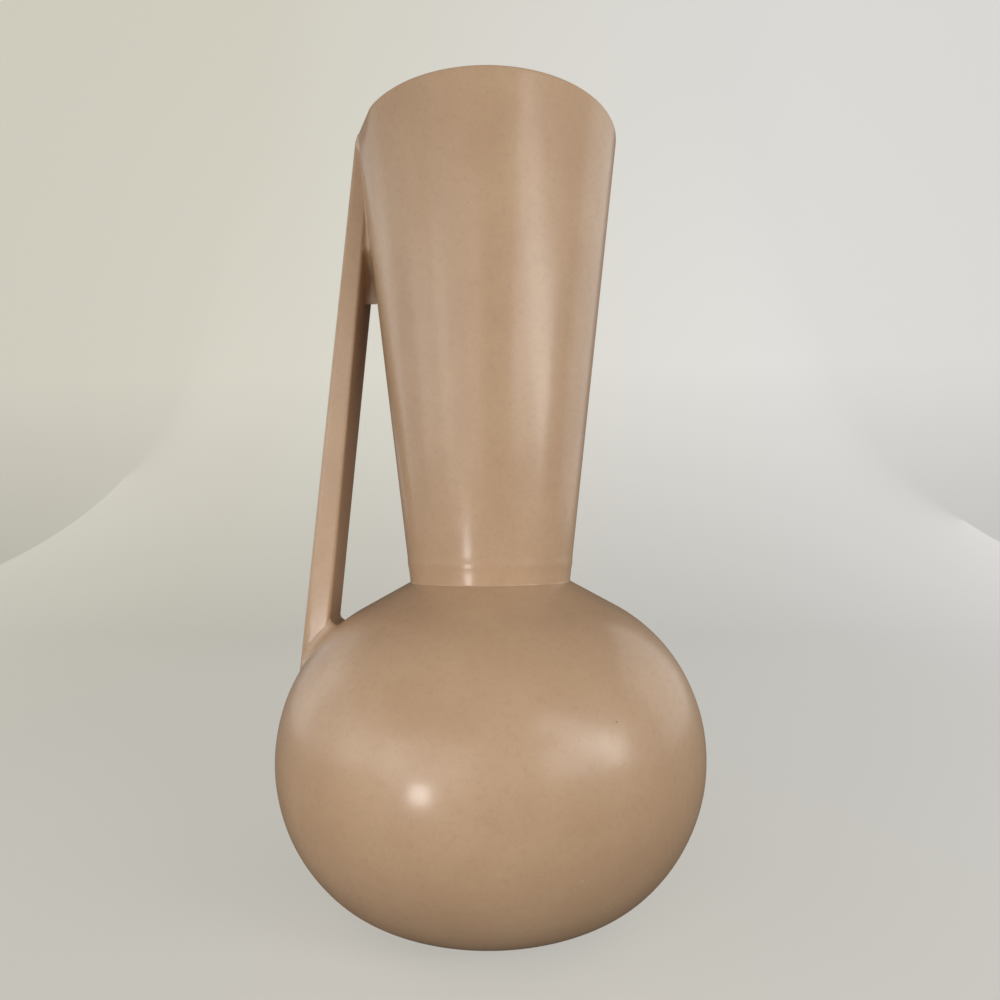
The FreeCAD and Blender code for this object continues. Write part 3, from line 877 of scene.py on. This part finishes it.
def area_lamp(name, place, aim, size, power, first_side):
    """Rectangular lamp turned towards a point, with its first side level or along a direction."""
    data = bpy.data.lights.new(name, "AREA")
    data.shape = "RECTANGLE"
    data.size, data.size_y = size
    data.energy = power
    data.color = LAMP_COLOUR
    back = (Vector(place) - Vector(aim)).normalized()
    side = Vector(first_side)
    if not side.length:
        side = Vector((0, 0, 1)).cross(back)
    side = (side - side.dot(back) * back).normalized()
    lamp = bpy.data.objects.new(name, data)
    turn = Matrix((side, back.cross(side), back)).transposed()
    lamp.matrix_world = Matrix.Translation(place) @ turn.to_4x4()
    bpy.context.scene.collection.objects.link(lamp)


def add_camera(scene, camera):
    """Camera that stands in front of the vase, is turned about its axis, then tilted and leant."""
    right = Vector((math.cos(camera.turn), math.sin(camera.turn), 0))
    ahead = Vector((0, 0, 1)).cross(right) * math.cos(camera.pitch)
    ahead.z = math.sin(camera.pitch)
    up = right.cross(ahead)
    across = right * math.cos(camera.roll) - up * math.sin(camera.roll)
    upward = up * math.cos(camera.roll) + right * math.sin(camera.roll)
    place = Matrix.Rotation(camera.turn, 3, "Z") @ Vector((camera.side, -camera.distance, camera.height))
    basis = Matrix((across, upward, -ahead)).transposed()
    data = bpy.data.cameras.new("camera")
    data.sensor_fit = "HORIZONTAL"
    data.sensor_width = camera.film
    data.lens = camera.film * camera.focal_share
    data.clip_start = camera.near
    obj = bpy.data.objects.new("camera", data)
    obj.matrix_world = Matrix.Translation(place) @ basis.to_4x4()
    scene.collection.objects.link(obj)
    scene.camera = obj


class VASE_OT_stage(Operator):
    """Pale floor that sweeps up into a backdrop, soft lamps, pale sky and the camera."""
    bl_idname = "vase.stage"
    bl_label = "Stage, lamps and camera"

    def execute(self, context):
        scene = context.scene
        look = scene.vase_stage
        t = np.linspace(0, math.pi / 2, 24)
        bend = look.bend_radius
        path = np.concatenate([
            [[-look.front, 0]],
            np.stack([look.bend + bend * np.sin(t), bend - bend * np.cos(t)], 1),
            [[look.bend + bend, look.wall_height]]])
        x = np.array([-look.half_width, look.half_width])[None, :]
        grid = np.stack([x + 0 * path[:, :1], path[:, :1] + 0 * x, path[:, 1:] + 0 * x], 2)
        rows = len(path)
        index = np.arange(rows * 2).reshape(rows, 2)
        quads = np.stack([index[:-1, 0], index[:-1, 1], index[1:, 1], index[1:, 0]], 1)
        mesh = bpy.data.meshes.new("floor_sweep")
        mesh.from_pydata(grid.reshape(-1, 3), [], quads.tolist())
        mesh.polygons.foreach_set("use_smooth", np.ones(rows - 1, bool))
        mesh.materials.append(floor_material("pale floor", look))
        floor = bpy.data.objects.new("floor_sweep", mesh)
        scene.collection.objects.link(floor)

        world = bpy.data.worlds.new("pale sky")
        world.use_nodes = True
        tree = world.node_tree
        sky = tree.nodes["Background"]
        sky.inputs["Color"].default_value = (*SKY_COLOUR, 1)
        path = node(tree, "ShaderNodeLightPath", -500, 0)
        level = ranged(tree, path.outputs["Is Camera Ray"], 0, 1, look.sky, look.shown_sky, -250, 0)
        tree.links.new(level, sky.inputs["Strength"])
        scene.world = world

        for lamp in LAMPS:
            area_lamp(*lamp)

        add_camera(scene, scene.vase_camera)
        scene.view_settings.view_transform = "Standard"
        return {"FINISHED"}


class VASE_PT_panel(Panel):
    """Buttons for the pieces and their settings."""
    bl_idname = "VASE_PT_panel"
    bl_label = "Vase"
    bl_space_type = "VIEW_3D"
    bl_region_type = "UI"
    bl_category = "Vase"

    def draw(self, context):
        for operator in OPERATORS:
            self.layout.operator(operator.bl_idname)
        for name, group in GROUPS.items():
            box = self.layout.box()
            box.label(text=group.__name__)
            for key in group.__annotations__:
                box.prop(getattr(context.scene, name), key)


GROUPS = {
    "vase_body": BodySizes,
    "vase_neck": NeckSizes,
    "vase_strap": StrapSizes,
    "vase_slip": SlipSizes,
    "vase_glaze": GlazeLook,
    "vase_stage": StageLook,
    "vase_camera": CameraSizes,
}
OPERATORS = (
    VASE_OT_body,
    VASE_OT_neck,
    VASE_OT_crease,
    VASE_OT_strap,
    VASE_OT_notch,
    VASE_OT_foot,
    VASE_OT_stage,
)


def register():
    """Registers the settings, the operators and the panel."""
    for cls in (*GROUPS.values(), *OPERATORS, VASE_PT_panel):
        bpy.utils.register_class(cls)
    for name, group in GROUPS.items():
        setattr(bpy.types.Scene, name, PointerProperty(type=group))


def unregister():
    """Takes back what register() did."""
    for name in GROUPS:
        delattr(bpy.types.Scene, name)
    for cls in reversed((*GROUPS.values(), *OPERATORS, VASE_PT_panel)):
        bpy.utils.unregister_class(cls)


def main():
    """Builds every piece and the stage."""
    register()
    bpy.ops.vase.body()
    bpy.ops.vase.neck()
    bpy.ops.vase.crease()
    bpy.ops.vase.strap()
    bpy.ops.vase.notch()
    bpy.ops.vase.foot()
    bpy.ops.vase.stage()


if __name__ == "__main__":
    main()
